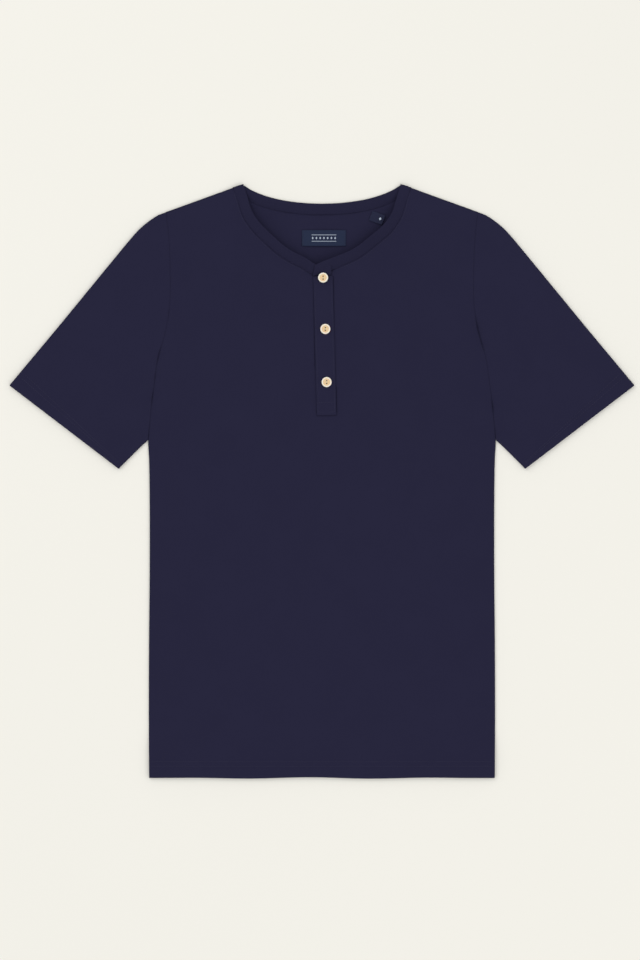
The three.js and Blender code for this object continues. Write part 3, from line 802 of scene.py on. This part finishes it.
make_strip("lower_placket_strip", "placket_under", UNDER_Z, 0.0, False)
placket_over = make_strip("upper_placket_strip", "placket_over", OVER_Z, 3.0, True)
lean_turn = Matrix.Rotation(lean, 4, "Z")
slits = bmesh.new()
for name, bx, by, _ in BUTTONS:
    hole_y = min(by, PLACKET_TOP[1] - HOLE_LONG[name] / 2 - 1.6)
    size = Matrix.Diagonal((0.7 * MM, (HOLE_LONG[name] - 3) * MM, 0.01, 1))
    at = Matrix.Translation(Vector((bx, hole_y, OVER_Z)) * MM)
    bmesh.ops.create_cube(slits, size=1, matrix=at @ lean_turn @ size)
cut_with(placket_over, slits)

# ---------------------------------------------------------------------------------------------
# Stitching: navy polyester thread. Hems are held by two rows from a twin needle, the neckband's seam
# and the placket's edges by one row each, and each buttonhole by close bars round its slit.
# ---------------------------------------------------------------------------------------------
thread_navy, tree = new_material("navy_polyester_thread")
place = add_node(tree, "ShaderNodeTexCoord")
twist = add_node(tree, "ShaderNodeTexNoise", Vector=place.outputs["Object"], Scale=2500.0, Detail=1.0)
tone = add_node(
    tree, "ShaderNodeMix", {"data_type": "RGBA"}, i0=twist.outputs["Fac"], i6=linear("#25243C"), i7=linear("#34334F")
)
ply = add_node(tree, "ShaderNodeBump", Strength=0.4, Distance=0.0001, Height=twist.outputs["Fac"])
sewn = add_node(
    tree, "ShaderNodeBsdfPrincipled", Base_Color=tone.outputs[2], Roughness=0.6, Normal=ply.outputs["Normal"]
)
sewn.inputs["Specular IOR Level"].default_value = 0.25
add_node(tree, "ShaderNodeOutputMaterial", Surface=sewn.outputs[0])


def add_stitch(bm, a, b, thick):
    """One stitch from a to b, mm: a slim bead with its ends sunk into the cloth."""
    a, b = Vector(a), Vector(b)
    run = b - a
    turn = run.to_track_quat("X", "Z").to_matrix().to_4x4()
    size = Matrix.Diagonal((run.length / 2 * MM, thick * MM, thick * 0.75 * MM, 1))
    place = Matrix.Translation((a + b) / 2 * MM) @ turn @ size
    bmesh.ops.create_uvsphere(bm, u_segments=6, v_segments=4, radius=1, matrix=place)


def sew_along(bm, path, height, pitch=2.9, gap=0.7, thick=0.24):
    """A row of stitches along a line of (x, y) points; height(x, y) gives the cloth's face."""
    run = [0.0]
    for a, b in zip(path, path[1:]):
        run.append(run[-1] + math.dist(a, b))
    table = [(d, *p) for d, p in zip(run, path)]

    def at(d):
        for a, b in zip(table, table[1:]):
            if d <= b[0]:
                f = (d - a[0]) / (b[0] - a[0])
                return mix(a[1], b[1], f), mix(a[2], b[2], f)
        return table[-1][1], table[-1][2]

    for k in range(int(run[-1] / pitch)):
        (ax, ay), (bx, by) = at(k * pitch + gap / 2), at((k + 1) * pitch - gap / 2)
        add_stitch(bm, (ax, ay, height(ax, ay)), (bx, by, height(bx, by)), thick)


def finish_stitches(name, bm):
    return make_piece(name, bm, thread_navy)


hem_front, hem_back = bmesh.new(), bmesh.new()
for rise in (14.5, 20.0):
    line = [(-208 + 416 * k / 60, HEM_Y + rise) for k in range(61)]
    sew_along(hem_front, line, lambda x, y: front_top_height(x, y) + 0.06)
    sew_along(hem_back, line, lambda x, y: REST - 0.02)
finish_stitches("hem_stitches_front", hem_front)
finish_stitches("hem_stitches_back", hem_back)


def sew_cuff(name, side):
    bm = bmesh.new()
    for rise in (13.0, 18.0):
        along = 1 - rise / SLEEVE_LONG
        tx, ty, ux, uy = spline(SLEEVE, along)
        line = [(side * mix(ux, tx, 0.03 + 0.94 * k / 20), mix(uy, ty, 0.03 + 0.94 * k / 20)) for k in range(21)]
        puff = 0.8 * smooth((1 - along) / 0.35)

        def upper(x, y, puff=puff, ux=ux, uy=uy, tx=tx, ty=ty):
            t = math.dist((abs(x), y), (abs(ux), uy)) / math.dist((tx, ty), (ux, uy))
            return REST + 4.0 + puff * math.sin(math.pi * t) + 0.06

        sew_along(bm, line, upper)
        sew_along(bm, line, lambda x, y: REST - 0.02)
    return finish_stitches(name, bm)


sew_cuff("cuff_stitches_left", 1)
sew_cuff("cuff_stitches_right", -1)

neck_rows = bmesh.new()
for inner, outer in ((left_inner, left_outer), (right_inner, right_outer)):
    line = []
    for (ix, iy), (ox, oy) in zip(inner[1:], outer[1:]):
        run = math.dist((ix, iy), (ox, oy))
        if (ox < -13 and ix < 0) or ox > 15:
            line.append((ox + (ox - ix) / run * 2.0, oy + (oy - iy) / run * 2.0))
    sew_along(neck_rows, line, lambda x, y: front_top_height(x, y) + 0.05, pitch=2.6)
finish_stitches("neck_seam_stitches", neck_rows)


def placket_point(side, rise):
    at = slit_top + down * rise + across * side
    return at.x, at.y


over_top = OVER_Z + PLACKET_THICK
placket_rows = bmesh.new()
edge = PLACKET_WIDE / 2 - 2.2
long = placket_long + 1
outline = [placket_point(side, rise) for side, rise in ((-edge, 3), (-edge, long - 2), (edge, long - 2), (edge, 3))]
sew_along(placket_rows, outline, lambda x, y: over_top - 0.02, pitch=2.8)
bar = [placket_point(-edge, long - 14), placket_point(edge, long - 14)]
sew_along(placket_rows, bar, lambda x, y: over_top + 0.08, pitch=2.8)
finish_stitches("placket_stitches", placket_rows)

holes = bmesh.new()
for name, bx, by, _ in BUTTONS:
    hole_long = HOLE_LONG[name]
    hole_y = min(by, PLACKET_TOP[1] - hole_long / 2 - 1.6)
    centre = Vector((bx, hole_y, over_top + 0.02))
    bars = int((hole_long - 2) / 0.55)
    for k in range(bars + 1):
        rise = (k / bars - 0.5) * (hole_long - 2)
        for side in (-1, 1):
            a = centre + across * side * 0.35 + down * rise
            b = centre + across * side * 1.75 + down * rise
            add_stitch(holes, a, b, 0.26)
    for end in (-1, 1):
        for k in range(5):
            a = centre + across * (-1.9 + 0.0) + down * end * (hole_long / 2 - 0.9 + k * 0.3)
            b = centre + across * 1.9 + down * end * (hole_long / 2 - 0.9 + k * 0.3)
            add_stitch(holes, a, b, 0.26)
finish_stitches("buttonhole_stitches", holes)

# ---------------------------------------------------------------------------------------------
# Buttons: cast polyester with a pale shell look, turned with a raised rim and a shallow dish, and
# drilled with two holes one above the other. Each is sewn to the lower strip with cream thread.
# ---------------------------------------------------------------------------------------------
button_shell, tree = new_material("cream_polyester_button")
place = add_node(tree, "ShaderNodeTexCoord")
swirl = add_node(
    tree, "ShaderNodeTexNoise", Vector=place.outputs["Object"], Scale=260.0, Detail=3.0, Distortion=1.4
)
tone = add_node(
    tree, "ShaderNodeMix", {"data_type": "RGBA"}, i0=swirl.outputs["Fac"], i6=linear("#EEE0C6"), i7=linear("#FDF6EA")
)
turned_marks = add_node(tree, "ShaderNodeBump", Strength=0.08, Distance=0.0002, Height=swirl.outputs["Fac"])
shell = add_node(
    tree, "ShaderNodeBsdfPrincipled", Base_Color=tone.outputs[2], Roughness=0.32, Normal=turned_marks.outputs["Normal"]
)
shell.inputs["IOR"].default_value = 1.54
shell.inputs["Subsurface Weight"].default_value = 0.08
shell.inputs["Subsurface Scale"].default_value = 0.001
add_node(tree, "ShaderNodeOutputMaterial", Surface=shell.outputs[0])
button_core = button_shell.copy()
button_core.name = "tan_polyester_button_middle"
for node in button_core.node_tree.nodes:
    if node.bl_idname == "ShaderNodeMix":
        node.inputs[6].default_value = linear("#DDB987")
        node.inputs[7].default_value = linear("#F0D7AC")
cream_thread, tree = new_material("cream_button_thread")
place = add_node(tree, "ShaderNodeTexCoord")
twist = add_node(tree, "ShaderNodeTexNoise", Vector=place.outputs["Object"], Scale=3000.0, Detail=1.0)
tone = add_node(
    tree, "ShaderNodeMix", {"data_type": "RGBA"}, i0=twist.outputs["Fac"], i6=linear("#B9A582"), i7=linear("#E6D9BE")
)
strand = add_node(tree, "ShaderNodeBsdfPrincipled", Base_Color=tone.outputs[2], Roughness=0.7)
add_node(tree, "ShaderNodeOutputMaterial", Surface=strand.outputs[0])
# radius and height of the turned profile, from the middle of the underside to the middle of the dish
PROFILE = [
    (0.0, 0.0),
    (4.4, 0.0),
    (5.4, 0.25),
    (5.95, 0.75),
    (6.15, 1.3),
    (6.0, 1.85),
    (5.65, 2.2),
    (5.2, 2.3),
    (4.75, 2.2),
    (4.4, 1.8),
    (4.1, 1.45),
    (3.0, 1.25),
    (0.0, 1.2),
]
for name, bx, by, lift in BUTTONS:
    base_z = OVER_Z + PLACKET_THICK + 0.35 + lift
    bm = bmesh.new()
    verts = [bm.verts.new((r * MM, 0, z * MM)) for r, z in PROFILE]
    edges = [bm.edges.new(pair) for pair in zip(verts, verts[1:])]
    bmesh.ops.spin(bm, geom=verts + edges, cent=(0, 0, 0), axis=(0, 0, 1), angle=2 * math.pi, steps=64, use_merge=True)
    bmesh.ops.remove_doubles(bm, verts=bm.verts[:], dist=0.001 * MM)
    bmesh.ops.recalc_face_normals(bm, faces=bm.faces[:])
    bmesh.ops.translate(bm, verts=bm.verts[:], vec=Vector((bx, by, base_z)) * MM)
    for face in bm.faces:
        at = face.calc_center_median() / MM
        face.material_index = int(math.dist((at.x, at.y), (bx, by)) < 4.3 and at.z > base_z + 1)
    button = make_piece("sewn_" + name, bm, button_shell, name)
    button.data.materials.append(button_core)
    drill = bmesh.new()
    for side in (-1, 1):
        at = Matrix.Translation(Vector((bx, by + side * 1.55, base_z + 1)) * MM)
        bmesh.ops.create_cone(
            drill, cap_ends=True, segments=24, radius1=0.9 * MM, radius2=0.9 * MM, depth=0.01, matrix=at
        )
    cut_with(button, drill)
    button.data.shade_smooth()
    threads = bmesh.new()
    for k in range(4):
        x = bx + (k - 1.5) * 0.34
        add_stitch(threads, (x, by - 1.75, base_z + 1.32), (x, by + 1.75, base_z + 1.32), 0.24)
        for side in (-1, 1):
            add_stitch(threads, (x, by + side * 1.5, base_z + 1.4), (x, by + side * 1.6, UNDER_Z + 1.0), 0.24)
    make_piece(name + "_thread", threads, cream_thread)

# ---------------------------------------------------------------------------------------------
# Neck label and size tag: damask-woven polyester, slightly bluer and shinier than the jersey. The
# label is sewn inside the back by its two ends; the tag is a small loop caught in the neck seam.
# Where a maker's name would be they carry a plain row of lozenges and a plain bar.
# ---------------------------------------------------------------------------------------------
LABEL = (2.4, 296.7, 53.6, 19.4)  # centre and size
TAG = (67.5, 321.4, 17.0, 12.5, -20.0)
INSIDE_Z = REST + CLOTH


def woven_cloth(name, base, light):
    material, tree = new_material(name)
    place = add_node(tree, "ShaderNodeTexCoord")
    threads = []
    for direction, scale in (("X", 900.0), ("Y", 700.0)):
        bands = {"wave_type": "BANDS", "bands_direction": direction}
        threads.append(add_node(tree, "ShaderNodeTexWave", bands, Vector=place.outputs["UV"], Scale=scale))
    warp, weft = threads
    weave = add_node(tree, "ShaderNodeMath", {"operation": "MULTIPLY"}, i0=warp.outputs["Fac"], i1=weft.outputs["Fac"])
    tone = add_node(
        tree, "ShaderNodeMix", {"data_type": "RGBA"}, i0=weave.outputs[0], i6=linear(base), i7=linear(light)
    )
    relief = add_node(tree, "ShaderNodeBump", Strength=0.3, Distance=0.0001, Height=weave.outputs[0])
    cloth = add_node(
        tree, "ShaderNodeBsdfPrincipled", Base_Color=tone.outputs[2], Roughness=0.55, Normal=relief.outputs["Normal"]
    )
    cloth.inputs["Specular IOR Level"].default_value = 0.1
    add_node(tree, "ShaderNodeOutputMaterial", Surface=cloth.outputs[0])
    return material


label_cloth = woven_cloth("navy_damask_label", "#202840", "#263049")
tag_cloth = woven_cloth("dark_navy_tag", "#1F2239", "#252942")
mark_cloth = woven_cloth("pale_woven_mark", "#9FAABC", "#C9D0DC")


def label_place(u, v):
    x = LABEL[0] + (u - 0.5) * LABEL[2]
    y = LABEL[1] + (v - 0.5) * LABEL[3]
    lift = 0.25 + 0.85 * math.sin(math.pi * u) ** 0.7 + 0.2 * math.sin(v * 5 + u * 3) * math.sin(math.pi * u)
    return x, y, INSIDE_Z + lift + 0.1


label_bm = cloth_grid(64, 24, label_place, LABEL[2], LABEL[3])
label = make_piece("woven_neck_label", label_bm, label_cloth, "neck_label")
give_wall(label, 0.35, 1)


def tag_place(u, v):
    turn = math.radians(TAG[4])
    x, y = (u - 0.5) * TAG[2], (0.5 - abs(2 * v - 1)) * TAG[3]
    lift = 0.3 + 0.6 * u + 0.55 * smooth((v - 0.38) / 0.24)
    return (
        TAG[0] + x * math.cos(turn) - y * math.sin(turn),
        TAG[1] + x * math.sin(turn) + y * math.cos(turn),
        INSIDE_Z + lift,
    )


tag = make_piece("small_folded_tag", cloth_grid(20, 40, tag_place, TAG[2], 2 * TAG[3]), tag_cloth, "size_tag")
give_wall(tag, 0.3, 0)


def woven_mark(name, place_on, shapes):
    """Flat shapes woven into a label: each a centre, half width and half height as shares of it."""
    bm = bmesh.new()
    weave = bm.loops.layers.uv.new("weave")
    for cu, cv, hu, hv, lozenge in shapes:
        corners = [(-1, 0), (0, -1), (1, 0), (0, 1)] if lozenge else [(-1, -1), (1, -1), (1, 1), (-1, 1)]
        points = [place_on(cu + a * hu, cv + b * hv) for a, b in corners]
        verts = [bm.verts.new(Vector((x, y, z + 0.62)) * MM) for x, y, z in points]
        face = bm.faces.new(verts)
        for corner in face.loops:
            corner[weave].uv = (corner.vert.co.x, corner.vert.co.y)
    made = bmesh.ops.extrude_face_region(bm, geom=bm.faces[:])
    tops = [g for g in made["geom"] if isinstance(g, bmesh.types.BMVert)]
    bmesh.ops.translate(bm, verts=tops, vec=(0, 0, 0.0001))
    bmesh.ops.recalc_face_normals(bm, faces=bm.faces[:])
    return make_piece(name, bm, mark_cloth, smooth_faces=False)


lozenges = [(0.5 + k * 0.085, 0.5, 0.022, 0.085, True) for k in range(-3, 4)]
rules = [(0.5, 0.30, 0.28, 0.016, False), (0.5, 0.70, 0.28, 0.016, False)]
woven_mark("label_mark", label_place, lozenges + rules)


def tag_upper_face(u, v):
    return tuple(Vector(tag_place(u, v)) + Vector((0, 0, 0.25)))


woven_mark("tag_mark", tag_upper_face, [(0.72, 0.75, 0.09, 0.08, True)])
label_rows = bmesh.new()
for side in (-1, 1):
    x = LABEL[0] + side * (LABEL[2] / 2 - 1.4)
    sew_along(label_rows, [(x, LABEL[1] - 9), (x, LABEL[1] + 9)], lambda x, y: INSIDE_Z + 0.95, pitch=2.2)
finish_stitches("label_stitches", label_rows)

# ---------------------------------------------------------------------------------------------
# The plain pale surface that the shirt lies on, soft studio light, and the camera straight above.
# ---------------------------------------------------------------------------------------------
floor_bm = bmesh.new()
bmesh.ops.create_grid(floor_bm, x_segments=2, y_segments=2, size=4.0)
floor_mesh = bpy.data.meshes.new("floor")
floor_bm.to_mesh(floor_mesh)
floor_bm.free()
floor = bpy.data.objects.new("floor", floor_mesh)
bpy.context.scene.collection.objects.link(floor)
pale, tree = new_material("pale_painted_board")
place = add_node(tree, "ShaderNodeTexCoord")
grain = add_node(tree, "ShaderNodeTexNoise", Vector=place.outputs["Object"], Scale=3.0, Detail=2.0)
wash = add_node(
    tree, "ShaderNodeMix", {"data_type": "RGBA"}, i0=grain.outputs["Fac"], i6=linear("#F0EEE6"), i7=linear("#F1EFE7")
)
board = add_node(tree, "ShaderNodeBsdfPrincipled", Base_Color=wash.outputs[2], Roughness=1.0)
board.inputs["Specular IOR Level"].default_value = 0.0
add_node(tree, "ShaderNodeOutputMaterial", Surface=board.outputs[0])
floor_mesh.materials.append(pale)

scene = bpy.context.scene
world = bpy.data.worlds.new("soft_room")
scene.world = world
world.use_nodes = True
background = world.node_tree.nodes["Background"]
background.inputs["Color"].default_value = (1.0, 1.0, 1.0, 1)
background.inputs["Strength"].default_value = 0.87


def soft_box(name, place, size, watts):
    light = bpy.data.lights.new(name, "AREA")
    light.shape = "SQUARE"
    light.size = size
    light.energy = watts
    lamp = bpy.data.objects.new(name, light)
    lamp.location = place
    lamp.rotation_euler = (-Vector(place)).to_track_quat("-Z", "Y").to_euler()
    scene.collection.objects.link(lamp)


soft_box("soft_box_upper_left", (-2.2, 2.0, 2.6), 2.4, 24)
soft_box("soft_box_lower_right", (2.4, -1.9, 2.5), 2.4, 18)

LENS = 85.0
VIEW_HIGH = 1171.2  # what the camera's long side takes in, mm
camera_data = bpy.data.cameras.new("camera")
camera_data.lens = LENS
camera_data.sensor_width = 36.0
camera_data.clip_end = 20.0
camera = bpy.data.objects.new("camera", camera_data)
scene.collection.objects.link(camera)
camera.location = Vector((-2.4, 1.5, VIEW_HIGH / 2 * LENS / 18 + 3)) * MM
scene.camera = camera
scene.view_settings.view_transform = "Standard"
